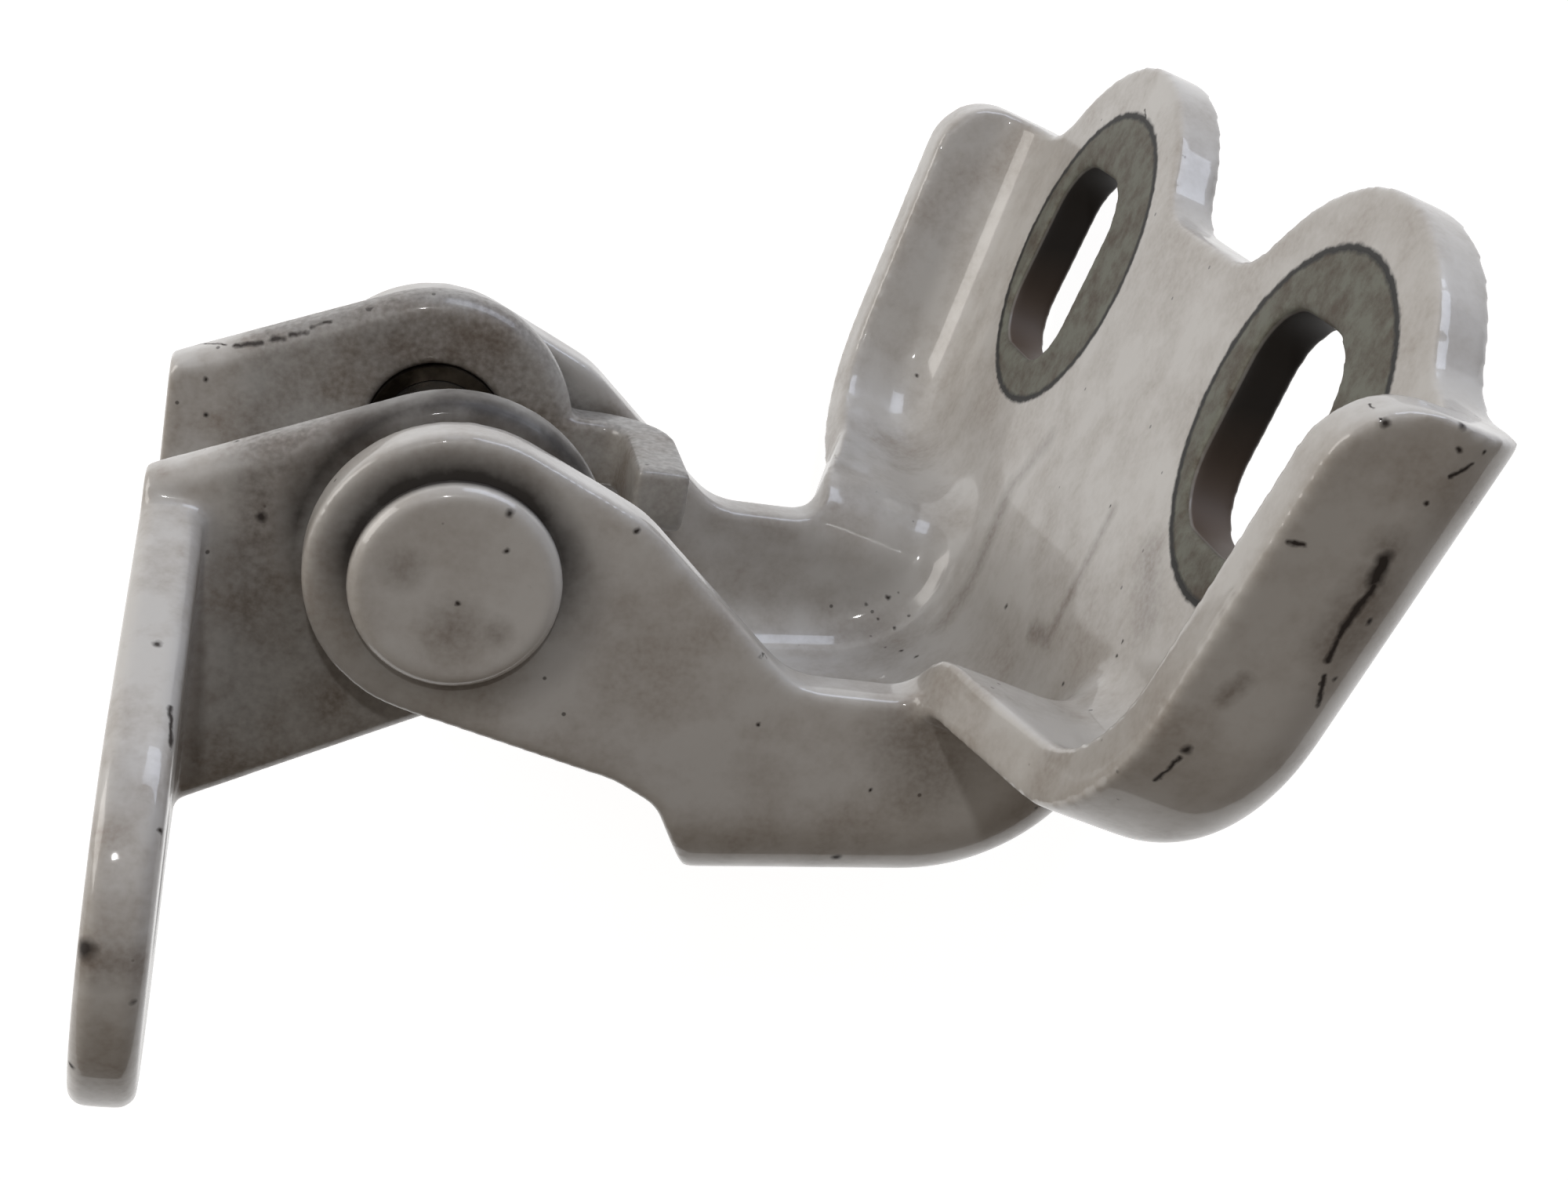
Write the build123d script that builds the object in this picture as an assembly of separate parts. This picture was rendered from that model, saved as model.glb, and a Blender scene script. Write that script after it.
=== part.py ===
from build123d import *
import math
import os

# Car door hinge: a pressed pillar leaf and a deep-drawn gooseneck door leaf on a riveted pin.
# +Z runs along the pin and is up on the car, +X points away from the pillar, +Y to the front.
# The origin is the centre of the two pillar bolt holes, on the face that lies on the pillar.

# Sheets
door_sheet = 3.8
pillar_sheet = 3.9

# Pin and bushes
pin_dia = 8.0
pin_head_dia = 13.2
pin_head_height = 1.7
pin_head_bevel = 0.6
rivet_bevel = 1.3
rivet_dia = 12.0
rivet_height = 2.2
bush_wall = 1.0
bush_running_gap = 0.04
bush_flange_dia = 15.0
bush_flange_thickness = 0.8
bush_inner_stub = 0.4
side_play = 0.1

# Ears of both leaves, measured about the pin
door_ear_span = 40.4
door_eye_radius = 9.3
pillar_eye_radius = 10.2

# Pillar plate
pin_standoff = 19.25
pin_rise = 17.5
pillar_hole_spacing = 58.0
pillar_hole_dia = 9.0
pillar_lobe_radius = 13.4
plate_waist_bottom = -6.0
plate_waist_top = 11.0
plate_edge_bevel = 0.6
ear_root_bottom = -3.7
ear_root_top = 20.3
ear_edge_bevel = 0.9

# Stop tab on the lower pillar ear
tab_reach = 17.5
tab_top = 2.2
tab_bottom = -2.6
tab_end_gap = 1.3
tab_bend_radius = 1.5
tab_end_round = 1.6

# Channel of the door leaf, in side view about the pin
web_tilt = 5.0
web_depth = 19.9
web_depth_at = 19.0
web_end_top = (15.0, -14.0)
web_end_bottom = (18.6, -20.6)
arm_underside = (12.0, -12.5)
arm_underside_round = 4.0
web_end_round = 3.0
goose_radius = 15.0
arm_knee = (11.5, 5.0)
arm_knee_round = 7.0
dip_level = -4.8
dip_start = 22.6
dip_start_round = 5.0
dip_end = 31.0
dip_end_round = 2.0

# Door plate
door_plate_tilt = 14.5
door_plate_distance = 42.6
flange_height = 8.0
flange_end = 36.2
flange_tip_round = 5.0
lobe_radius = 16.4
lobe_rise = 28.8
door_hole_rise = 28.2
door_hole_spacing = 47.5
door_hole_width = 13.4
door_hole_length = 15.6
door_hole_corner = 4.5
door_hole_drop = 1.5
notch_round = 6.0

# Flare of the channel into the door plate, in the plane of the plate
flare_start = 2.9
flare_angle = 87.0
flare_start_round = 2.0
flare_end_round = 14.0
flare_trim_start = 20.2
flare_trim_end = 33.0
flange_spread = 42.5
flange_taper = 10.0
draw_inner_radius = 4.0
draw_outer_radius = 5.8

# Derived places
door_half = door_ear_span / 2
pillar_ear_outer = door_half - door_sheet - bush_flange_thickness - side_play
pillar_ear_inner = pillar_ear_outer - pillar_sheet
plate_back = door_plate_distance + door_sheet
free_edge = door_plate_distance - flange_height
bush_bore_radius = pin_dia / 2 + bush_running_gap
bush_outer_radius = bush_bore_radius + bush_wall
tilt = math.radians(door_plate_tilt)
normal = Vector(math.cos(tilt), -math.sin(tilt), 0)
along = Vector(math.sin(tilt), math.cos(tilt), 0)
plate_frame = Plane(origin=(0, 0, 0), x_dir=along, z_dir=normal)
to_pin = Pos(pin_standoff, pin_rise, 0)


def tangent_from(point, radius, side):
    # Point where the line from a point outside touches a circle about the pin
    distance = math.hypot(point[0], point[1])
    angle = math.atan2(point[1], point[0]) + side * math.acos(radius / distance)
    return (radius * math.cos(angle), radius * math.sin(angle))


def drum(radius, low, high):
    # Round bar along the pin between two heights
    return Pos(0, 0, low) * extrude(Circle(radius), high - low)


def slab(face, low, high):
    # Side-view outline given a thickness along the pin
    return Pos(0, 0, low) * extrude(face, high - low)


def corner_at(face, x, y):
    return face.vertices().sort_by_distance((x, y, 0))[0]


# Pillar leaf

def pillar_plate():
    # Outline on the pillar face, drawn with Y across and Z up, seen from the pin
    half = pillar_hole_spacing / 2
    face = Rectangle(plate_waist_top - plate_waist_bottom, 2 * half)
    face = Pos((plate_waist_top + plate_waist_bottom) / 2, 0) * face
    for side in (-1, 1):
        corner = (ear_root_top, side * pillar_ear_inner)
        reach = math.hypot(ear_root_top, half - pillar_ear_inner)
        turn = math.acos(pillar_lobe_radius / reach) - math.atan2(half - pillar_ear_inner, ear_root_top)
        touch = (pillar_lobe_radius * math.cos(turn), side * (half + pillar_lobe_radius * math.sin(turn)))
        face += make_face(Polyline((0, side * half), (0, corner[1]), corner, touch, close=True))
        face += Pos(0, side * half) * Circle(pillar_lobe_radius)
    flat = extrude(face, pillar_sheet)
    flat = chamfer(flat.edges().filter_by(Plane.XY), plate_edge_bevel)
    for side in (-1, 1):
        flat -= Pos(0, side * half, 0) * extrude(Circle(pillar_hole_dia / 2), pillar_sheet)
    return Plane(origin=(0, 0, 0), x_dir=(0, 1, 0), z_dir=(1, 0, 0)) * flat


def pillar_ear(low):
    # Eye about the pin, run down to the plate along two tangents, with its sheared edge broken
    top = (-pin_standoff, ear_root_top - pin_rise)
    bottom = (-pin_standoff, ear_root_bottom - pin_rise)
    upper = tangent_from(top, pillar_eye_radius, -1)
    lower = tangent_from(bottom, pillar_eye_radius, 1)
    gusset = make_face(Polyline(top, bottom, lower, (0, 0), upper, close=True))
    ear = slab(gusset + Circle(pillar_eye_radius), low, low + pillar_sheet)
    rim = [e for e in ear.edges().filter_by(Plane.XY) if e.center().X > -pin_standoff + 0.1]
    return chamfer(rim, ear_edge_bevel)


def stop_tab():
    # Arm out of the lower ear, folded up along the pin
    inner = tab_reach - pillar_sheet
    low = -pillar_ear_outer
    path = Polyline(
        (0, low),
        (tab_reach, low),
        (tab_reach, -tab_end_gap),
        (inner, -tab_end_gap),
        (inner, -pillar_ear_inner),
        (0, -pillar_ear_inner),
        close=True,
    )
    face = make_face(path)
    face = fillet(corner_at(face, tab_reach, low), tab_bend_radius + pillar_sheet)
    face = fillet(corner_at(face, inner, -pillar_ear_inner), tab_bend_radius)
    bent = Plane(origin=(0, tab_top, 0), x_dir=(1, 0, 0), z_dir=(0, -1, 0)) * extrude(face, tab_top - tab_bottom)
    ends = bent.edges().filter_by(Axis.X).group_by(Axis.Z)[-1].sort_by(Axis.Y)[0]
    return fillet(ends, tab_end_round)


def pillar_leaf():
    leaf = pillar_plate()
    for side in (-1, 1):
        low = min(side * pillar_ear_inner, side * pillar_ear_outer)
        leaf += to_pin * pillar_ear(low)
    leaf += to_pin * stop_tab()
    leaf -= to_pin * drum(bush_outer_radius, -door_half, door_half)
    return leaf


# Door leaf

def side_profile(inset, radius):
    # Everything above the web and in front of the plate, its outer faces moved in by an inset
    slope = math.radians(web_tilt)
    web = Vector(math.cos(slope), math.sin(slope), 0)
    start = Vector(web_depth_at, -web_depth + inset / math.cos(slope), 0)
    step = (plate_back - inset - start.dot(normal)) / web.dot(normal)
    corner = start + web * step
    left = start - web * 50
    top = corner + along * 80
    far = top - normal * 110
    face = make_face(Polyline(left, corner, top, far, left + Vector(0, 60, 0), close=True))
    return fillet(corner_at(face, corner.X, corner.Y), radius)


def plan_profile(inset):
    # Half widths of the pan in the plane of the plate, moved in by an inset
    slope = math.radians(flare_angle)
    taper = math.radians(flange_taper)
    rise = (flange_spread - door_half) / math.tan(slope)
    end = 60
    widest = flange_spread + (end - flare_start - rise) * math.tan(taper)
    points = [(-60, door_half), (flare_start, door_half), (flare_start + rise, flange_spread), (end, widest)]
    outline = Polyline(*points, *[(p[0], -p[1]) for p in reversed(points)], close=True)
    face = make_face(outline)
    for side in (-1, 1):
        face = fillet(corner_at(face, flare_start, side * door_half), flare_start_round)
        face = fillet(corner_at(face, flare_start + rise, side * flange_spread), flare_end_round)
    if inset:
        face = offset(face, -inset, kind=Kind.INTERSECTION)
    return face


def pan_block(inset, bottom_radius):
    # Closed block whose skin, a sheet apart, is the outside or the inside of the drawn pan
    start = dip_end - dip_end_round
    spread = plate_frame * Pos(0, 0, start) * extrude(plan_profile(inset), plate_back)
    half = door_half - inset
    strip = make_face(Polyline((-40, -60), (dip_end, -60), (dip_end, 60), (-40, 60), close=True))
    side = side_profile(inset, goose_radius - inset)
    block = (spread + slab(strip, -half, half)) & slab(side, -80, 80)
    skin = side.edges().sort_by(lambda e: e.center().dot(normal - along * 0.5))[-3:]
    rim = [
        e for e in block.edges()
        if not abs(e.tangent_at(0.5).Z) > 0.999
        and min(k.distance_to(Vertex(e.position_at(0.5).X, e.position_at(0.5).Y, 0)) for k in skin) < 0.01
    ]
    return fillet(rim, bottom_radius)


def arm_outline():
    # Side view of the finished channel, open downwards and to the door
    eye = door_eye_radius
    top_touch = tangent_from(arm_knee, eye, 1)
    low_touch = tangent_from(arm_underside, eye, -1)
    points = [
        top_touch, arm_knee, (dip_start, dip_level), (80, dip_level), (80, -60), (web_end_bottom[0], -60),
        web_end_bottom, web_end_top, arm_underside, low_touch, (0, 0),
    ]
    face = make_face(Polyline(*points, close=True)) + Circle(eye)
    face = fillet(corner_at(face, *arm_knee), arm_knee_round)
    face = fillet(corner_at(face, dip_start, dip_level), dip_start_round)
    face = fillet(corner_at(face, *arm_underside), arm_underside_round)
    face = fillet(corner_at(face, *web_end_top), web_end_round)
    return face


def front_block():
    # Room of the flare and the pan, in plan: the flare is trimmed slanting, the flanges straight
    points = [(dip_end, flare_trim_start), (free_edge, flare_trim_end), (free_edge, 60), (80, 60)]
    outline = Polyline(*points, *[(p[0], -p[1]) for p in reversed(points)], close=True)
    plan = Plane(origin=(0, 0, 0), x_dir=normal, z_dir=-along)
    block = extrude(plan * make_face(outline), 60, both=True)
    near = flange_end - flange_tip_round
    deep = free_edge + flange_tip_round
    corner = (flange_end + 1, free_edge - 1)
    tip = make_face(Polyline((near, deep), (near, corner[1]), corner, (corner[0], deep), close=True))
    tip -= Pos(near, deep) * Circle(flange_tip_round)
    side = Plane(origin=(0, 0, 0), x_dir=along, z_dir=(0, 0, -1))
    return block - extrude(side * tip, 80, both=True)


def trim_block():
    # All that the trimming leaves, with the foot of the flare run softly into the arm
    block = slab(arm_outline(), -door_half, door_half) + front_block()
    foot = normal * dip_end + along * ((dip_level + dip_end * math.sin(tilt)) / math.cos(tilt))
    crease = [e for e in block.edges() if e.distance_to(Vertex(foot.X, foot.Y, 0)) < 0.01]
    return fillet(crease, dip_end_round)


def plate_outline():
    # Face-on view of the door plate: side flanges stop square and two round lobes stand above them
    body = make_face(Polyline((-80, -70), (flange_end, -70), (flange_end, 70), (-80, 70), close=True))
    for side in (-1, 1):
        body += Pos(lobe_rise, side * door_hole_spacing / 2, 0) * Circle(lobe_radius)
    inner = [v for v in body.vertices() if abs(v.X - flange_end) < 0.01 and abs(v.Y) < 60]
    return fillet(inner, notch_round)


def door_hole():
    return RectangleRounded(door_hole_length, door_hole_width, door_hole_corner)


def door_leaf():
    leaf = pan_block(0, draw_outer_radius) - pan_block(door_sheet, draw_inner_radius)
    leaf &= trim_block()
    leaf &= plate_frame * Pos(0, 0, free_edge - 60) * extrude(plate_outline(), 140)
    for side in (-1, 1):
        across = side * door_hole_spacing / 2 - door_hole_drop
        place = plate_frame * Pos(door_hole_rise, across, door_plate_distance - 10)
        leaf -= place * extrude(door_hole(), 20)
    leaf -= drum(pin_dia / 2, -door_half - 1, door_half + 1)
    return to_pin * leaf


# Pin and bushes

def hinge_pin():
    shank = drum(pin_dia / 2, -door_half, door_half)
    head = drum(pin_head_dia / 2, door_half, door_half + pin_head_height)
    rim = head.edges().filter_by(GeomType.CIRCLE).sort_by(Axis.Z)[-1]
    head = chamfer(rim, pin_head_bevel)
    rivet = drum(rivet_dia / 2, -door_half - rivet_height, -door_half)
    low = rivet.edges().filter_by(GeomType.CIRCLE).sort_by(Axis.Z)[0]
    rivet = chamfer(low, rivet_bevel)
    return to_pin * (shank + head + rivet)


def bush(side):
    # Flange under the door ear, sleeve through the pillar ear
    outer = side * (pillar_ear_outer + bush_flange_thickness)
    seat = side * pillar_ear_outer
    inner = side * (pillar_ear_inner - bush_inner_stub)
    sleeve = drum(bush_outer_radius, min(seat, inner), max(seat, inner))
    flange = drum(bush_flange_dia / 2, min(seat, outer), max(seat, outer))
    return to_pin * (sleeve + flange - drum(bush_bore_radius, -door_half, door_half))


os.makedirs("parts", exist_ok=True)
nodes = {
    "pillar_leaf": pillar_leaf(),
    "door_leaf": door_leaf(),
    "hinge_pin": hinge_pin(),
    "upper_bush": bush(1),
    "lower_bush": bush(-1),
}
for name, solid in nodes.items():
    export_step(solid, f"parts/{name}.step")
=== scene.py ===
import math

import bpy
from mathutils import Matrix, Vector


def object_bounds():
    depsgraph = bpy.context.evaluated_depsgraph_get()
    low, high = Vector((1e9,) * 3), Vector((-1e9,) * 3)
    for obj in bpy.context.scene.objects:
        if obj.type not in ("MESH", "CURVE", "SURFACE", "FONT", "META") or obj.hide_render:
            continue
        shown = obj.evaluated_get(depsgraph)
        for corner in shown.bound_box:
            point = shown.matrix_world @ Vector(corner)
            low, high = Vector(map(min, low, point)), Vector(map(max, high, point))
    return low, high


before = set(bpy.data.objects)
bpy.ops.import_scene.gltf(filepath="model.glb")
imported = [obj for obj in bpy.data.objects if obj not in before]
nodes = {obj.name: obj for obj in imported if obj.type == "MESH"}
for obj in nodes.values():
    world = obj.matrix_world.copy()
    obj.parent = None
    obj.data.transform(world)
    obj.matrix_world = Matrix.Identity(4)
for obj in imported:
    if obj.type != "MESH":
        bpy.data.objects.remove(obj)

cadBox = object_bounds()


# Small helpers

def linearColour(hexText):
    values = []
    for start in (1, 3, 5):
        part = int(hexText[start:start + 2], 16) / 255
        values.append(part / 12.92 if part <= 0.04045 else ((part + 0.055) / 1.055) ** 2.4)
    return (*values, 1.0)


def addNode(tree, kind, settings=None, links=None):
    # A setting is an input's name or number, or else a property of the node; a link comes from
    # a socket, or from a node's first output
    node = tree.nodes.new("ShaderNode" + kind)
    for key, value in (settings or {}).items():
        if isinstance(key, int) or key in node.inputs:
            node.inputs[key].default_value = value
        else:
            setattr(node, key, value)
    for key, source in (links or {}).items():
        socket = source if isinstance(source, bpy.types.NodeSocket) else source.outputs[0]
        tree.links.new(socket, node.inputs[key])
    return node


def newMaterial(name):
    material = bpy.data.materials.new(name)
    material.use_nodes = True
    material.node_tree.nodes.clear()
    return material, material.node_tree


def placeInMillimetres(tree):
    place = addNode(tree, "TexCoord")
    return addNode(tree, "VectorMath", {"operation": "SCALE", "Scale": 1000.0},
                   {0: place.outputs["Object"]})


# Camera: a phone held above the upper ear, tilted a little to one side

camera = {
    "place": (0.005484, 0.069711, 0.166741),
    "right": (0.96990, 0.17838, 0.16577),
    "up": (-0.11215, 0.93145, -0.34616),
    "back": (-0.21615, 0.31715, 0.92342),
    "sensorWidth": 36.0,  # mm
    "lens": 57.815,  # mm on that sensor
    "nearest": 0.01,  # m
    "farthest": 20.0,
}


def makeCamera(facts):
    data = bpy.data.cameras.new("photoCamera")
    data.sensor_fit = "HORIZONTAL"
    data.sensor_width = facts["sensorWidth"]
    data.lens = facts["lens"]
    data.clip_start = facts["nearest"]
    data.clip_end = facts["farthest"]
    made = bpy.data.objects.new("photoCamera", data)
    bpy.context.scene.collection.objects.link(made)
    turn = Matrix((facts["right"], facts["up"], facts["back"])).transposed().to_quaternion()
    made.rotation_mode = "QUATERNION"
    made.rotation_quaternion = turn
    made.location = facts["place"]
    bpy.context.scene.camera = made


makeCamera(camera)
print("camera set")


# Room: a pale floor, a white surround and soft lamps

room = {
    "floorSize": 6.0,  # m
    "floorDrop": 0.0002,  # m below the part
    "floorColour": "#BDBCBA",
    "floorGlow": 0.88,  # what the lens sees on top of the lit floor
    "lightLevel": 0.155,  # even light from all round
    "lightColour": "#FFF0E2",
}

lamps = [
    {"name": "windowLamp", "place": (0.36, 0.93, 0.12), "size": (0.70, 0.45),
     "watts": 5.4, "colour": "#E4EDFF"},
    {"name": "leftLamp", "place": (-0.75, 0.32, 0.19), "size": (0.50, 0.50),
     "watts": 3.7, "colour": "#FFFBF6"},
    {"name": "sparkLamp", "place": (-0.06, 0.42, 0.62), "size": (0.035, 0.035),
     "watts": 0.7, "colour": "#FFFFFF"},
]


def makeFloor(facts):
    half = facts["floorSize"] / 2
    height = cadBox[0].z - facts["floorDrop"]
    mesh = bpy.data.meshes.new("floor")
    corners = [(x * half, y * half, height) for x, y in ((-1, -1), (1, -1), (1, 1), (-1, 1))]
    mesh.from_pydata(corners, [], [(0, 1, 2, 3)])
    floor = bpy.data.objects.new("floor", mesh)
    bpy.context.scene.collection.objects.link(floor)

    # White to the lens and in reflections, plain paper to the light, so the shadow stays
    material, tree = newMaterial("matt white paper")
    paper = addNode(tree, "BsdfDiffuse", {"Color": linearColour(facts["floorColour"])})
    glow = addNode(tree, "Emission", {"Color": (1, 1, 1, 1), "Strength": facts["floorGlow"]})
    path = addNode(tree, "LightPath")
    seen = path.outputs["Is Camera Ray"]
    for ray in ("Is Glossy Ray", "Is Transmission Ray"):
        seen = addNode(tree, "Math", {"operation": "MAXIMUM"}, {0: seen, 1: path.outputs[ray]})
    both = addNode(tree, "AddShader", {}, {0: paper, 1: glow})
    chosen = addNode(tree, "MixShader", {}, {0: seen, 1: paper, 2: both})
    addNode(tree, "OutputMaterial", {}, {"Surface": chosen})
    mesh.materials.append(material)


def makeSurround(facts):
    world = bpy.data.worlds.new("whiteRoom")
    world.use_nodes = True
    world.node_tree.nodes.clear()
    tree = world.node_tree
    path = addNode(tree, "LightPath")
    light = addNode(tree, "Background", {"Color": linearColour(facts["lightColour"]),
                                         "Strength": facts["lightLevel"]})
    white = addNode(tree, "Background", {"Color": (1, 1, 1, 1), "Strength": 1.0})
    pick = addNode(tree, "MixShader", {}, {0: path.outputs["Is Camera Ray"], 1: light, 2: white})
    addNode(tree, "OutputWorld", {}, {"Surface": pick})
    bpy.context.scene.world = world


def makeLamp(facts, target):
    data = bpy.data.lights.new(facts["name"], "AREA")
    data.shape = "RECTANGLE"
    data.size, data.size_y = facts["size"]
    data.energy = facts["watts"]
    data.color = linearColour(facts["colour"])[:3]
    lamp = bpy.data.objects.new(facts["name"], data)
    lamp.location = facts["place"]
    aim = target - Vector(facts["place"])
    lamp.rotation_mode = "QUATERNION"
    lamp.rotation_quaternion = aim.to_track_quat("-Z", "Y")
    bpy.context.scene.collection.objects.link(lamp)


makeFloor(room)
makeSurround(room)
middle = (cadBox[0] + cadBox[1]) / 2
for facts in lamps:
    makeLamp(facts, middle)
bpy.context.scene.view_settings.view_transform = "Standard"
print("room and lamps set")


# Painted pressed steel: white body paint sprayed over dipped primer, so it is pale and glossy
# with a faint orange peel; road film dulls it, and it has broken away in dark nicks

bodyPaint = {
    "colour": "#C8C6C2",
    "shade": "#B2AFAA",
    "toneSize": 18,  # mm, over which the tone changes a little
    "roughness": 0.34,
    "coat": 0.65,
    "coatRoughness": 0.07,
    "ior": 1.5,
    "peelSize": 1.6,  # mm between orange-peel bumps
    "peelStrength": 0.07,
    "peelHeight": 0.0002,  # m
    "film": "#86796C",  # brown road film
    "filmRoughness": 0.60,
    "filmSize": 6.0,  # mm
    "filmCloud": (0.40, 0.66),  # noise where the film starts and where it is thickest
    "filmThin": 0.06,
    "grainSize": 0.45,  # mm, dust grains, drawn coarser than real dust so that they show
    "grainCloud": (0.3, 0.75),
    "grainShare": (0.74, 1.26),
    "speckGap": 3.2,  # mm between pin holes and fly specks
    "speckSize": (0.055, 0.035),  # share of that gap, outside and core
    "speckDepth": 0.75,
    "raggedSize": 0.7,  # mm, how nicks wander at their rims
    "raggedReach": 0.45,  # mm
    "smear": "#5A4A3C",  # brown dried grease
    "smearSoftness": 0.85,
    "smearDepth": 0.48,
    "grimeAndShade": "#1E1813",  # black grease and dust, and the painted shade in corners, on the pillar's ears and about the pin
    "cornerShadeReach": 0.0030,  # m into the open from a corner, as far as the painted corner shade reaches
    "cornerShadeOpenness": (0.74, 0.30),  # how open the place is where the painted corner shade starts and where it is full
    "cornerShadeDepth": 0.62,
    "chip": "#2C2521",  # dark primer and rust where paint is gone
    "chipSoftness": 0.55,
    "edgeBend": (0.54, 0.60),  # pointiness of an edge sharp enough to be rubbed
    "biteSize": 2.6,  # mm, rubbed patches along an edge
    "biteCloud": (0.62, 0.68),
    "biteDepth": 0.8,
}

# Wear found on each piece, in mm: a dot is a place and a half width, a stroke two places and one
doorWear = {
    "filmAmount": 0.50,
    "chips": [
        ((65.8, 34.1, 46.7), (65.7, 32.8, 46.4), 0.46),
        ((65.8, 32.4, 46.3), (64.9, 29.7, 45.8), 0.26),
        ((64.9, 29.7, 45.8), (64.7, 27.6, 45.4), 0.19),
        ((64.9, 26.6, 45.2), (65.3, 24.6, 44.6), 0.16),
        ((66.4, 30.2, 45.7), 0.20),
        ((65.7, 26.4, 44.9), 0.17),
        ((60.3, 34.3, 46.5), (61.1, 34.3, 46.5), 0.17),
        ((63.2, 41.8, 47.9), 0.26),
        ((63.0, 41.9, 47.9), (63.1, 42.2, 45.7), 0.09),
        ((67.4, 42.3, 48.1), 0.25),
        ((67.7, 40.9, 47.9), 0.17),
        ((67.8, 39.4, 47.6), (68.8, 40.2, 47.6), 0.15),
        ((69.2, 40.9, 47.6), 0.15),
        ((67.0, 37.7, 47.3), 0.15),
        ((58.6, 20.9, 44.0), 0.31),
        ((58.4, 20.3, 43.7), (57.7, 18.4, 42.8), 0.14),
        ((55.4, 18.5, 42.5), 0.16),
        ((47.0, 0.8, 19.1), 0.31),
        ((29.9, 22.1, 20.2), 0.19),
        ((39.8, 10.1, 20.2), 0.14),
        ((48.0, 6.3, 20.2), 0.14),
        ((55.1, 6.5, -16.2), 0.16),
        ((56.1, 5.6, -15.5), 0.12),
        ((56.7, 7.3, -16.1), 0.19),
        ((57.3, 5.4, -14.4), 0.15),
        ((57.3, 4.7, -11.3), 0.19),
        ((56.4, 4.2, -13.0), 0.11),
        ((58.3, 6.5, -14.6), 0.14),
        ((55.6, 4.4, -14.6), 0.11),
        ((57.9, 5.1, -9.0), 0.16),
        ((57.5, 7.8, -16.0), 0.11),
        ((61.9, 12.3, -2.4), 0.22),
        ((62.0, 12.5, 13.1), 0.16),
        ((63.1, 17.0, 18.7), 0.16),
        ((63.4, 17.9, 18.4), 0.14),
        ((64.8, 23.5, 6.4), 0.14),
        ((61.7, 19.9, -39.2), 0.15),
        ((71.0, 47.3, -22.8), (70.4, 45.2, -17.4), 0.09),
    ],
    "smears": [
        ((65.8, 34.8, 46.8), 0.9),
        ((59.7, 24.6, 44.8), (60.4, 25.7, 45.0), 0.5),
        ((59.9, 7.4, -11.1), (61.6, 11.2, -11.0), 0.9),
        ((61.6, 11.2, -11.0), (63.6, 18.7, -12.4), 0.9),
        ((63.6, 18.7, -12.4), (64.8, 23.6, -9.5), 0.7),
        ((62.0, 13.0, 4.0), (62.2, 13.6, 7.2), 0.6),
        ((62.2, 13.6, 7.2), (64.8, 23.5, 7.2), 0.5),
        ((64.7, 23.2, 15.9), (64.0, 20.5, 20.1), 1.5),
        ((50.2, 10.1, 20.2), (51.9, 8.0, 20.2), 2.4),
        ((65.8, 32.4, 46.3), (64.6, 28.7, 45.7), 1.2),
    ],
}

pillarWear = {
    # A thicker film than on the door leaf, partly painted shade for the pillar's ears, which lie
    # in shade
    "filmAmount": 0.75,
    # Black dust with painted shade on the ears, which lie behind the door leaf's ears, off the
    # plate, and more of it on faces that look forward
    "sootAndShade": {
        "from": 3.5,  # mm from the pillar
        "full": 6.5,
        "depth": 0.30,
        "facing": (0.3, 0.9),
        "facingShare": (1.0, 1.7),
    },
    "chips": [
        ((4.4, 21.9, -12.2), (6.2, 22.4, -11.9), 0.20),
        ((6.9, 22.8, -12.0), (7.6, 23.0, -11.8), 0.22),
        ((8.1, 23.3, -11.9), (9.2, 23.7, -11.8), 0.17),
        ((9.5, 24.0, -12.0), (10.7, 24.6, -12.1), 0.15),
        ((1.6, 21.0, -14.4), (3.7, 21.8, -12.4), 0.11),
        ((2.6, 19.2, -11.6), 0.18),
        ((2.9, 16.6, -11.6), 0.18),
        ((5.3, 22.6, 13.2), 0.18),
        ((7.3, 18.6, 15.5), 0.30),
        ((0.4, 2.0, 42.1), 0.60),
        ((2.2, 14.5, 28.2), 0.27),
        ((3.4, 12.7, 32.9), (3.7, 11.4, 35.3), 0.17),
        ((3.7, 8.0, 39.2), 0.18),
        ((0.3, -6.1, 40.5), 0.22),
        ((3.3, -0.9, 42.4), 0.22),
    ],
    "smears": [
        ((7.1, 19.9, 15.5), (7.4, 17.4, 15.5), 1.3),
        ((1.0, 1.3, 42.3), (3.1, 1.5, 42.3), 1.0),
        ((9.4, 21.9, 15.5), (11.8, 23.5, 15.5), 1.8),
        ((36.4, 19.7, -10.0), 0.9),
        ((15.5, 23.5, -11.3), (22.5, 23.5, -11.3), 2.6),
        ((22.5, 23.5, -11.3), (26.0, 19.5, -11.3), 2.2),
    ],
}

pinWear = {
    "filmAmount": 0.38,
    "chips": [((21.8, 22.8, 21.9), 0.27), ((21.9, 20.4, 21.9), 0.19), ((19.5, 16.7, 21.9), 0.16)],
    "smears": [((15.9, 18.5, 21.9), 1.0), ((19.5, 14.9, 21.9), 1.5), ((22.0, 15.0, 21.9), 0.8)],
}

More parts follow.
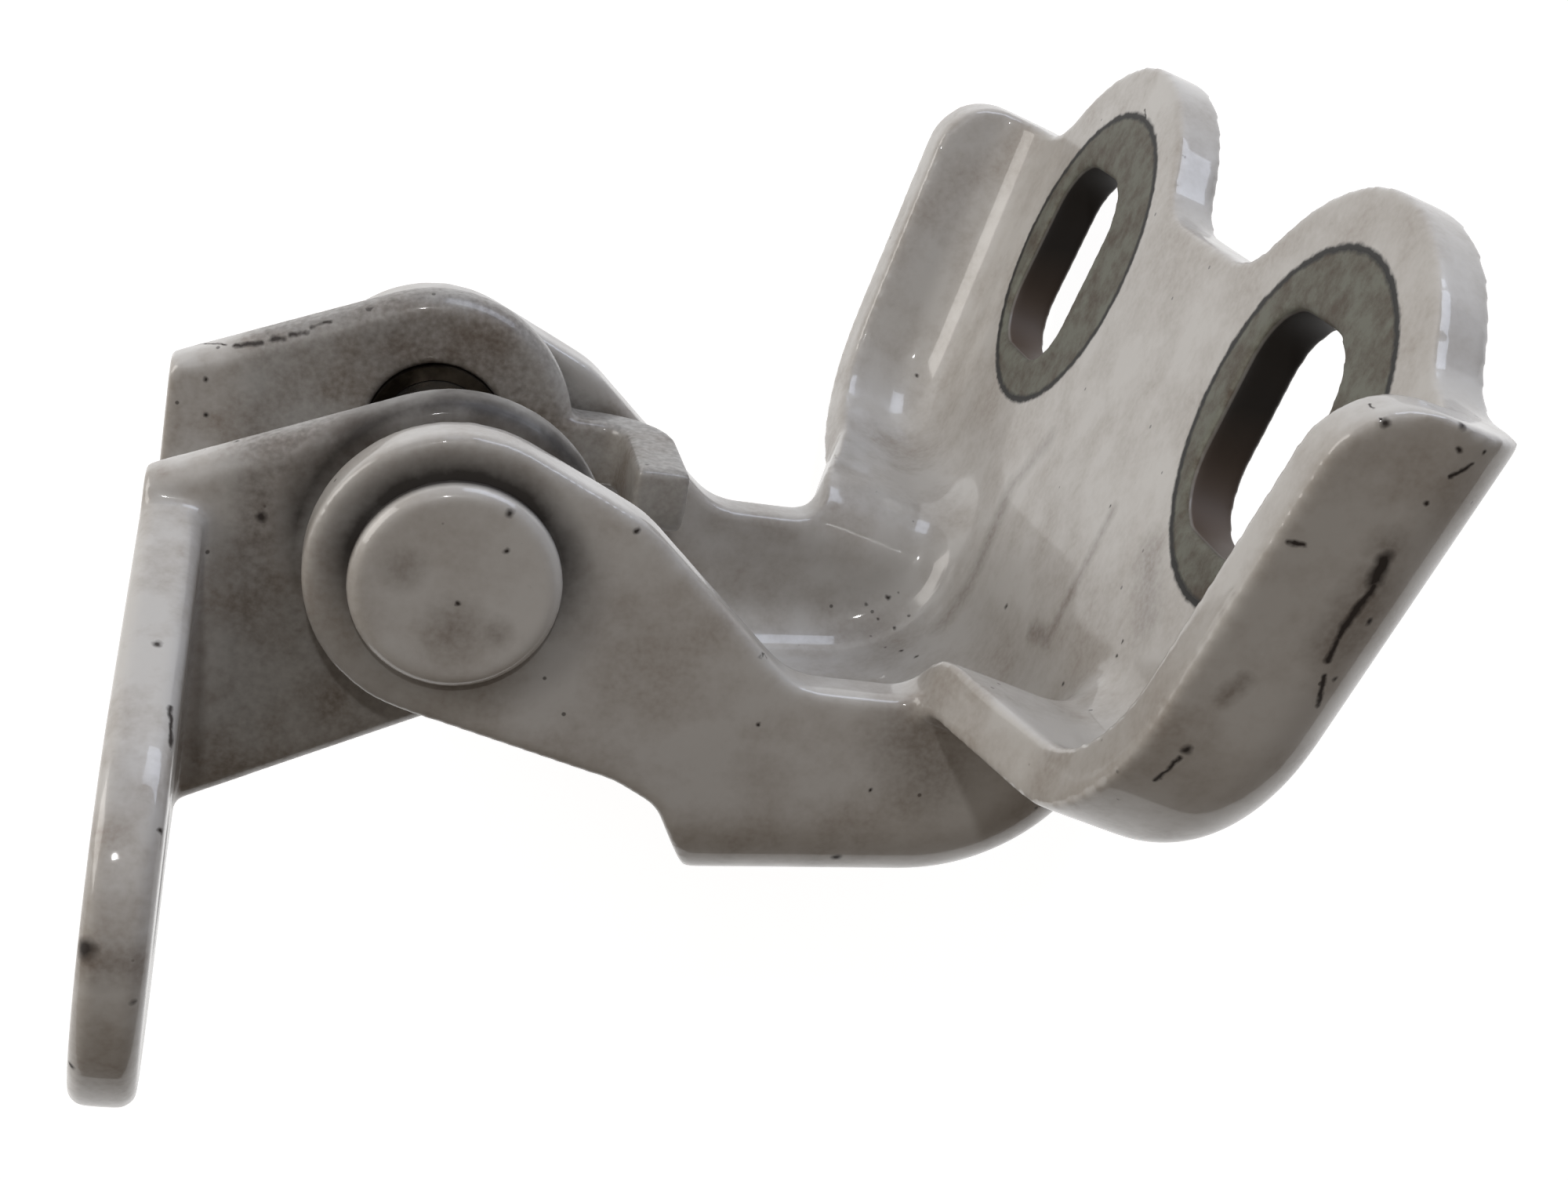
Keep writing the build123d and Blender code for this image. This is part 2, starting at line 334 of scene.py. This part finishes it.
# Where the bolts' washers have sat, in mm, and the oily walls of the bolt holes
boltSeat = {
    "centres": [(67.8, 35.0, 24.2), (67.8, 35.1, -22.6)],
    "bores": [(67.6, 34.1, 22.2), (67.6, 34.1, -25.2)],
    "axis": (0.96815, -0.25038, 0.0),
    "radius": 12.0,
    "fade": 0.25,
    "rimHalf": 0.30,
    "rimFade": 0.14,
    "boreRadius": 10.2,  # takes in the whole hole
    "boreFade": 0.1,
    "inner": 56.86,  # the plate's inner face along that axis
    "faceFrom": -1.5,  # from there, what counts as the face and what as the hole's wall
    "faceTo": 0.35,
    "faceFade": 0.1,
    "wallTo": 3.6,
    "wallFade": 0.15,
    "steel": "#6C6D63",  # rubbed steel, greenish grey, darkened as painted shade for the near seat, which lies in shade
    "rust": "#4A3F34",
    "mottleSize": 2.2,  # mm
    "mottleCloud": (0.40, 0.66),
    "mottleDepth": 0.9,
    "metallic": 0.35,  # a little, under oil and rust
    "rim": "#12100D",
    "oil": "#1E1A17",
    "dust": "#54453A",  # rusty dust stuck in the oil lower down
    "dustFrom": 34.0,  # mm along Y
    "dustFull": 26.5,
    "dustDepth": 0.9,
}

# Black grease pressed out about the pin, with painted shade at the foot of the pin head, thickest
# towards the front of the car
headGreaseAndShade = {
    "centre": (19.25, 17.5, 0.0),
    "axis": (0.0, 0.0, 1.0),
    "levels": (19.6, 24.0),
    "levelFade": 0.3,
    "radius": 6.7,
    "half": 1.25,
    "fade": 1.15,
    "strength": 0.95,
    "spread": 10.0,  # mm, how far a thin film of the grease and painted shade has crept
    "spreadFade": 1.8,
    "creep": 0.36,
    "thinSide": 11.5,  # mm along Y
    "thickSide": 20.5,
    "sideShare": (0.12, 1.04),
    "cloud": (0.3, 0.6),
    "cloudShare": (0.78, 1.12),
}

# The same ring on the pin head's side wall: grease and painted shade at the head's foot
headSideGreaseAndShade = dict(headGreaseAndShade, radius=6.6, half=0.5, fade=0.4, spread=4.0, creep=0.0,
                      levels=(18.0, 21.1))

# Painted shadow: a dark ring on the pillar's near ear about the door leaf's eye, made uneven like
# the grease
earEyeShadow = dict(headGreaseAndShade, radius=9.8, half=1.25, fade=1.65, spread=14.0, creep=0.16,
                 levels=(11.0, 16.6), thinSide=12.0, thickSide=19.0)


def markMask(tree, place, marks, softness):
    # One mask for many marks, from the distance to each dot or stroke
    mask = None
    for mark in marks:
        start = Vector(mark[0])
        half = mark[-1]
        gap = addNode(tree, "VectorMath", {"operation": "SUBTRACT", 1: start}, {0: place})
        if len(mark) == 3:
            run = Vector(mark[1]) - start
            share = addNode(tree, "VectorMath",
                            {"operation": "DOT_PRODUCT", 1: run / run.length_squared}, {0: gap})
            held = addNode(tree, "Clamp", {}, {"Value": share.outputs["Value"]})
            onRun = addNode(tree, "VectorMath", {"operation": "SCALE", 0: run}, {"Scale": held})
            gap = addNode(tree, "VectorMath", {"operation": "SUBTRACT"}, {0: gap, 1: onRun})
        away = addNode(tree, "VectorMath", {"operation": "LENGTH"}, {0: gap})
        inside = addNode(tree, "MapRange", {"From Min": half * (1 + softness),
                                            "From Max": half * (1 - softness)},
                         {"Value": away.outputs["Value"]})
        if mask is None:
            mask = inside
        else:
            mask = addNode(tree, "Math", {"operation": "MAXIMUM"}, {0: mask, 1: inside})
    return mask


def bandMask(tree, value, centre, half, fade):
    # 1 near a value, fading out on both sides of it
    off = addNode(tree, "Math", {"operation": "SUBTRACT", 1: centre}, {0: value})
    off = addNode(tree, "Math", {"operation": "ABSOLUTE"}, {0: off})
    return addNode(tree, "MapRange", {"From Min": half + fade, "From Max": half - fade},
                   {"Value": off})


def ringMask(tree, place, centre, axis, radius, half, fade):
    # 1 on a ring about an axis; a radius of 0 makes it a disc
    gap = addNode(tree, "VectorMath", {"operation": "SUBTRACT", 1: centre}, {0: place})
    across = addNode(tree, "VectorMath", {"operation": "CROSS_PRODUCT", 1: axis}, {0: gap})
    away = addNode(tree, "VectorMath", {"operation": "LENGTH"}, {0: across})
    return bandMask(tree, away.outputs["Value"], radius, half, fade)


def layerMask(tree, place, axis, low, high, fade):
    # 1 between two levels along an axis
    level = addNode(tree, "VectorMath", {"operation": "DOT_PRODUCT", 1: axis}, {0: place})
    return bandMask(tree, level.outputs["Value"], (low + high) / 2, (high - low) / 2, fade)


def greaseAndShadeMask(tree, place, film, facts):
    # A ring of grease and painted shade, uneven as the road film is, in a wider and thinner
    # spread of it
    centre, axis = facts["centre"], facts["axis"]
    ring = ringMask(tree, place, centre, axis, facts["radius"], facts["half"], facts["fade"])
    spread = ringMask(tree, place, centre, axis, 0.0, facts["spread"] - facts["spreadFade"],
                      facts["spreadFade"])
    level = layerMask(tree, place, axis, *facts["levels"], facts["levelFade"])
    side = addNode(tree, "SeparateXYZ", {}, {0: place})
    side = addNode(tree, "MapRange",
                   {"From Min": facts["thinSide"], "From Max": facts["thickSide"],
                    "To Min": facts["sideShare"][0], "To Max": facts["sideShare"][1]},
                   {"Value": side.outputs["Y"]})
    cloud = addNode(tree, "MapRange",
                    {"From Min": facts["cloud"][0], "From Max": facts["cloud"][1],
                     "To Min": facts["cloudShare"][0], "To Max": facts["cloudShare"][1]},
                    {"Value": film})
    for share in (cloud, side):
        ring = addNode(tree, "Math", {"operation": "MULTIPLY"}, {0: ring, 1: share})
    ring = addNode(tree, "Math", {"operation": "MINIMUM", 1: facts["strength"]}, {0: ring})
    thin = addNode(tree, "Math", {"operation": "MULTIPLY", 1: facts["creep"]}, {0: spread})
    both = addNode(tree, "Math", {"operation": "MAXIMUM"}, {0: ring, 1: thin})
    return addNode(tree, "Math", {"operation": "MULTIPLY"}, {0: both, 1: level})


def sootAndShadeMask(tree, place, facts):
    # Painted shade with black dust, on the ears away from the pillar
    away = addNode(tree, "SeparateXYZ", {}, {0: place})
    sootAndShade = addNode(tree, "MapRange", {"From Min": facts["from"], "From Max": facts["full"],
                                      "To Max": facts["depth"]}, {"Value": away.outputs["X"]})
    facing = addNode(tree, "NewGeometry")
    facing = addNode(tree, "SeparateXYZ", {}, {0: facing.outputs["Normal"]})
    facing = addNode(tree, "MapRange",
                     {"From Min": facts["facing"][0], "From Max": facts["facing"][1],
                      "To Min": facts["facingShare"][0], "To Max": facts["facingShare"][1]},
                     {"Value": facing.outputs["Y"]})
    return addNode(tree, "Math", {"operation": "MULTIPLY", "use_clamp": True},
                   {0: sootAndShade, 1: facing})


def seatLayers(tree, place, ragged, facts):
    # For each bolt: rubbed metal under the washer, in a colour darkened as painted shade, the
    # black line at its rim and the hole's wall
    axis, inner = facts["axis"], facts["inner"]
    face = layerMask(tree, place, axis, inner + facts["faceFrom"], inner + facts["faceTo"],
                     facts["faceFade"])
    wall = layerMask(tree, place, axis, inner + facts["faceTo"], inner + facts["wallTo"],
                     facts["wallFade"])
    mottle = addNode(tree, "TexNoise", {"Scale": 1 / facts["mottleSize"], "Detail": 5.0,
                                        "Roughness": 0.7}, {"Vector": place})
    mottle = addNode(tree, "MapRange",
                     {"From Min": facts["mottleCloud"][0], "From Max": facts["mottleCloud"][1],
                      "To Max": facts["mottleDepth"]}, {"Value": mottle})
    rubbedAndShaded = addNode(tree, "Mix", {"data_type": "RGBA", 6: linearColour(facts["steel"]),
                                   7: linearColour(facts["rust"])}, {0: mottle})
    low = addNode(tree, "SeparateXYZ", {}, {0: ragged})
    low = addNode(tree, "MapRange", {"From Min": facts["dustFrom"], "From Max": facts["dustFull"],
                                     "To Max": facts["dustDepth"]}, {"Value": low.outputs["Y"]})
    oily = addNode(tree, "Mix", {"data_type": "RGBA", 6: linearColour(facts["oil"]),
                                 7: linearColour(facts["dust"])}, {0: low})
    seats = []
    for centre, hole in zip(facts["centres"], facts["bores"]):
        disc = ringMask(tree, ragged, centre, axis, 0.0, facts["radius"], facts["fade"])
        rim = ringMask(tree, ragged, centre, axis, facts["radius"], facts["rimHalf"],
                       facts["rimFade"])
        bore = ringMask(tree, place, hole, axis, 0.0, facts["boreRadius"], facts["boreFade"])
        disc, rim, bore = [
            addNode(tree, "Math", {"operation": "MULTIPLY"}, {0: mask, 1: layer})
            for mask, layer in ((disc, face), (rim, face), (bore, wall))
        ]
        seats.append([(disc, rubbedAndShaded.outputs[2]), (rim, facts["rim"]), (bore, oily.outputs[2])])
    return seats


def paintTree(tree, facts, wear, grease, seat=None):
    place = placeInMillimetres(tree)
    wander = addNode(tree, "TexNoise", {"Scale": 1 / facts["raggedSize"], "Detail": 2.0},
                     {"Vector": place})
    wander = addNode(tree, "VectorMath", {"operation": "SUBTRACT", 1: (0.5, 0.5, 0.5)},
                     {0: wander.outputs["Color"]})
    ragged = addNode(tree, "VectorMath",
                     {"operation": "MULTIPLY_ADD", 1: (facts["raggedReach"],) * 3},
                     {0: wander, 2: place})

    tone = addNode(tree, "TexNoise", {"Scale": 1 / facts["toneSize"], "Detail": 2.0},
                   {"Vector": place})
    colour = addNode(tree, "Mix", {"data_type": "RGBA", 6: linearColour(facts["colour"]),
                                   7: linearColour(facts["shade"])}, {0: tone}).outputs[2]

    # Road film in clouds, with dust grains in it
    film = addNode(tree, "TexNoise", {"Scale": 1 / facts["filmSize"], "Detail": 5.0,
                                      "Roughness": 0.62}, {"Vector": place})
    grain = addNode(tree, "TexNoise", {"Scale": 1 / facts["grainSize"], "Detail": 2.0},
                    {"Vector": place})
    filmMask = addNode(tree, "MapRange",
                       {"From Min": facts["filmCloud"][0], "From Max": facts["filmCloud"][1],
                        "To Min": facts["filmThin"], "To Max": wear["filmAmount"]},
                       {"Value": film})
    grainMask = addNode(tree, "MapRange",
                        {"From Min": facts["grainCloud"][0], "From Max": facts["grainCloud"][1],
                         "To Min": facts["grainShare"][0], "To Max": facts["grainShare"][1]},
                        {"Value": grain})
    filmMask = addNode(tree, "Math", {"operation": "MULTIPLY", "use_clamp": True},
                       {0: filmMask, 1: grainMask})

    # Fine dark pin holes and fly specks, a few to a square centimetre
    speck = addNode(tree, "TexVoronoi", {"Scale": 1 / facts["speckGap"], "Randomness": 1.0},
                    {"Vector": place})
    speckMask = addNode(tree, "MapRange",
                        {"From Min": facts["speckSize"][0], "From Max": facts["speckSize"][1],
                         "To Max": facts["speckDepth"]}, {"Value": speck.outputs["Distance"]})

    # Dried grease
    smearMask = markMask(tree, ragged, wear["smears"], facts["smearSoftness"])
    smearMask = addNode(tree, "Math", {"operation": "MULTIPLY", 1: facts["smearDepth"]},
                        {0: smearMask})
    smearMask = addNode(tree, "Math", {"operation": "MULTIPLY", "use_clamp": True},
                        {0: smearMask, 1: grainMask})

    # Painted shade in corners, by how closed in they are, in the black grime colour; black dust
    # and painted shade on the pillar's ears; then the smooth rings about the pin, grease and
    # painted shade at the head and a painted shadow on the pillar's ear
    corner = addNode(tree, "AmbientOcclusion", {"samples": 4, "Distance": facts["cornerShadeReach"]})
    grimeAndShadeMask = addNode(tree, "MapRange",
                        {"From Min": facts["cornerShadeOpenness"][0], "From Max": facts["cornerShadeOpenness"][1],
                         "To Max": facts["cornerShadeDepth"]}, {"Value": corner.outputs["AO"]})
    if "sootAndShade" in wear:
        sootAndShade = sootAndShadeMask(tree, ragged, wear["sootAndShade"])
        grimeAndShadeMask = addNode(tree, "Math", {"operation": "MAXIMUM"}, {0: grimeAndShadeMask, 1: sootAndShade})
    grimeAndShadeMask = addNode(tree, "Math", {"operation": "MULTIPLY", "use_clamp": True},
                        {0: grimeAndShadeMask, 1: grainMask})
    grimeAndShadeMask = addNode(tree, "Math", {"operation": "MAXIMUM", "use_clamp": True},
                        {0: grimeAndShadeMask, 1: greaseAndShadeMask(tree, place, film, grease)})

    # Nicks through the paint, and rubbed edges
    chipMask = markMask(tree, ragged, wear["chips"], facts["chipSoftness"])
    edge = addNode(tree, "NewGeometry")
    edgeMask = addNode(tree, "MapRange",
                       {"From Min": facts["edgeBend"][0], "From Max": facts["edgeBend"][1]},
                       {"Value": edge.outputs["Pointiness"]})
    bite = addNode(tree, "TexNoise", {"Scale": 1 / facts["biteSize"], "Detail": 4.0,
                                      "Roughness": 0.7}, {"Vector": place})
    bite = addNode(tree, "MapRange",
                   {"From Min": facts["biteCloud"][0], "From Max": facts["biteCloud"][1],
                    "To Max": facts["biteDepth"]}, {"Value": bite})
    edgeMask = addNode(tree, "Math", {"operation": "MULTIPLY"}, {0: edgeMask, 1: bite})
    chipMask = addNode(tree, "Math", {"operation": "MAXIMUM"}, {0: chipMask, 1: edgeMask})

    # Each layer over the last, and all but the film take the gloss away
    layers = [(filmMask, facts["film"]), (speckMask, facts["chip"]), (smearMask, facts["smear"]),
              (grimeAndShadeMask, facts["grimeAndShade"]), (chipMask, facts["chip"])]
    seats = seatLayers(tree, place, ragged, seat) if seat else []
    for mask, tint in layers + [layer for three in seats for layer in three]:
        if isinstance(tint, str):
            colour = addNode(tree, "Mix", {"data_type": "RGBA", 7: linearColour(tint)},
                             {0: mask, 6: colour}).outputs[2]
        else:
            colour = addNode(tree, "Mix", {"data_type": "RGBA"},
                             {0: mask, 6: colour, 7: tint}).outputs[2]
    dull = grimeAndShadeMask
    for mask in [chipMask] + [layer[0] for three in seats for layer in three]:
        dull = addNode(tree, "Math", {"operation": "MAXIMUM"}, {0: dull, 1: mask})

    worn = addNode(tree, "Math", {"operation": "MAXIMUM"}, {0: filmMask, 1: dull})
    roughness = addNode(tree, "MapRange",
                        {"To Min": facts["roughness"], "To Max": facts["filmRoughness"]},
                        {"Value": worn})
    coat = addNode(tree, "MapRange", {"To Min": facts["coat"], "To Max": 0.0}, {"Value": dull})
    peel = addNode(tree, "TexNoise", {"Scale": 1 / facts["peelSize"], "Detail": 1.0},
                   {"Vector": place})
    bump = addNode(tree, "Bump", {"Strength": facts["peelStrength"],
                                  "Distance": facts["peelHeight"]}, {"Height": peel})
    shader = addNode(tree, "BsdfPrincipled",
                     {"IOR": facts["ior"], "Coat Roughness": facts["coatRoughness"]},
                     {"Base Color": colour, "Roughness": roughness, "Coat Weight": coat,
                      "Normal": bump})
    if seats:
        discs = [three[0][0] for three in seats]
        metal = addNode(tree, "Math", {"operation": "MAXIMUM"}, {0: discs[0], 1: discs[1]})
        metal = addNode(tree, "Math", {"operation": "MULTIPLY", 1: seat["metallic"]}, {0: metal})
        tree.links.new(metal.outputs[0], shader.inputs["Metallic"])
    return shader


def paintedMaterial(name, wear, grease, seat=None):
    material, tree = newMaterial(name)
    shader = paintTree(tree, bodyPaint, wear, grease, seat)
    addNode(tree, "OutputMaterial", {}, {"Surface": shader})
    return material


# Turned steel pin: its head and riveted end were painted with the leaves, while its shank stays
# bare and bright under a film of black grease

pinSteel = {
    "colour": "#9C9A96",
    "roughness": 0.26,
    "turningPitch": 0.25,  # mm a turn, drawn coarser than a real feed so that it shows
    "turningStrength": 0.15,
    "turningHeight": 0.00002,  # m
    "grease": "#1B1815",
    "greaseRoughness": 0.45,
    "greaseSize": 4.0,  # mm
    "greaseCloud": (0.42, 0.62),
    "greaseDepth": 0.9,
    "bareHalf": 20.2,  # mm each way along the pin from its middle
    "bareFade": 0.05,
}


def pinMaterial(facts):
    material, tree = newMaterial("turned steel pin, head painted")
    painted = paintTree(tree, bodyPaint, pinWear, headSideGreaseAndShade)
    place = placeInMillimetres(tree)
    blot = addNode(tree, "TexNoise", {"Scale": 1 / facts["greaseSize"], "Detail": 4.0},
                   {"Vector": place})
    blot = addNode(tree, "MapRange",
                   {"From Min": facts["greaseCloud"][0], "From Max": facts["greaseCloud"][1],
                    "To Max": facts["greaseDepth"]}, {"Value": blot})
    colour = addNode(tree, "Mix", {"data_type": "RGBA", 6: linearColour(facts["colour"]),
                                   7: linearColour(facts["grease"])}, {0: blot})
    roughness = addNode(tree, "MapRange",
                        {"To Min": facts["roughness"], "To Max": facts["greaseRoughness"]},
                        {"Value": blot})
    # The wave node draws one band to 2 pi / 20 of its unit at a scale of 1
    turning = addNode(tree, "TexWave", {"bands_direction": "Z",
                                        "Scale": 2 * math.pi / 20 / facts["turningPitch"]},
                      {"Vector": place})
    bump = addNode(tree, "Bump", {"Strength": facts["turningStrength"],
                                  "Distance": facts["turningHeight"]},
                   {"Height": turning.outputs["Color"]})
    metal = addNode(tree, "BsdfPrincipled", {"Metallic": 1.0},
                    {"Base Color": colour.outputs[2], "Roughness": roughness, "Normal": bump})
    bare = layerMask(tree, place, (0, 0, 1), -facts["bareHalf"], facts["bareHalf"],
                     facts["bareFade"])
    both = addNode(tree, "MixShader", {}, {0: bare, 1: painted, 2: metal})
    addNode(tree, "OutputMaterial", {}, {"Surface": both})
    return material


# Sintered bronze bushes: pressed powder full of oil, so a dull brownish grey with fine dark pores
# and black oil in clouds

bushBronze = {
    "colour": "#7E7568",
    "oil": "#1F1A15",
    "roughness": 0.42,
    "poreSize": 0.35,  # mm, drawn coarser than real pores so that they show
    "poreReach": (0.30, 0.12),
    "poreDepth": 0.7,
    "poreStrength": 0.3,
    "poreHeight": 0.00005,  # m
    "oilSize": 3.0,  # mm
    "oilCloud": (0.38, 0.60),
    "oilShare": (0.55, 0.96),
}


def bushMaterial(facts):
    material, tree = newMaterial("sintered bronze, oiled")
    place = placeInMillimetres(tree)
    pores = addNode(tree, "TexVoronoi", {"Scale": 1 / facts["poreSize"]}, {"Vector": place})
    poreMask = addNode(tree, "MapRange",
                       {"From Min": facts["poreReach"][0], "From Max": facts["poreReach"][1],
                        "To Max": facts["poreDepth"]}, {"Value": pores.outputs["Distance"]})
    oil = addNode(tree, "TexNoise", {"Scale": 1 / facts["oilSize"], "Detail": 4.0},
                  {"Vector": place})
    oilMask = addNode(tree, "MapRange",
                      {"From Min": facts["oilCloud"][0], "From Max": facts["oilCloud"][1],
                       "To Min": facts["oilShare"][0], "To Max": facts["oilShare"][1]},
                      {"Value": oil})
    dark = addNode(tree, "Math", {"operation": "MAXIMUM"}, {0: poreMask, 1: oilMask})
    colour = addNode(tree, "Mix", {"data_type": "RGBA", 6: linearColour(facts["colour"]),
                                   7: linearColour(facts["oil"])}, {0: dark})
    bump = addNode(tree, "Bump", {"Strength": facts["poreStrength"],
                                  "Distance": facts["poreHeight"]},
                   {"Height": pores.outputs["Distance"]})
    metal = addNode(tree, "BsdfPrincipled", {"Metallic": 1.0, "Roughness": facts["roughness"]},
                    {"Base Color": colour.outputs[2], "Normal": bump})
    addNode(tree, "OutputMaterial", {}, {"Surface": metal})
    return material


# Paint and tumbling round off the sheared edges of the press work: a fine net of squares is laid
# over each solid and eased, which leaves a few squares of round on each edge, then thinned out

softEdges = {
    "door_leaf": {"square": 0.00026, "easing": 26, "kept": 0.34},  # m, passes, share of the faces
    "pillar_leaf": {"square": 0.00026, "easing": 22, "kept": 0.45},
    "hinge_pin": {"square": 0.00022, "easing": 10, "kept": 0.60},
}


def softenEdges(name, facts):
    net = nodes[name].modifiers.new("fine net", "REMESH")
    net.mode = "VOXEL"
    net.voxel_size = facts["square"]
    net.use_smooth_shade = True
    ease = nodes[name].modifiers.new("soft edge", "SMOOTH")
    ease.factor = 0.5  # half way to its neighbours, each pass
    ease.iterations = facts["easing"]
    thin = nodes[name].modifiers.new("fewer faces", "DECIMATE")
    thin.ratio = facts["kept"]


def dressNode(name, material):
    mesh = nodes[name].data
    mesh.materials.clear()
    mesh.materials.append(material)


for name, facts in softEdges.items():
    softenEdges(name, facts)
print("edges rounded")

doorPaint = paintedMaterial("white body paint, door leaf", doorWear, headGreaseAndShade, boltSeat)
pillarPaint = paintedMaterial("white body paint, pillar leaf", pillarWear, earEyeShadow)
dressNode("door_leaf", doorPaint)
dressNode("pillar_leaf", pillarPaint)
print("leaves painted")

dressNode("hinge_pin", pinMaterial(pinSteel))
bronze = bushMaterial(bushBronze)
dressNode("upper_bush", bronze)
dressNode("lower_bush", bronze)
print("pin and bushes finished")
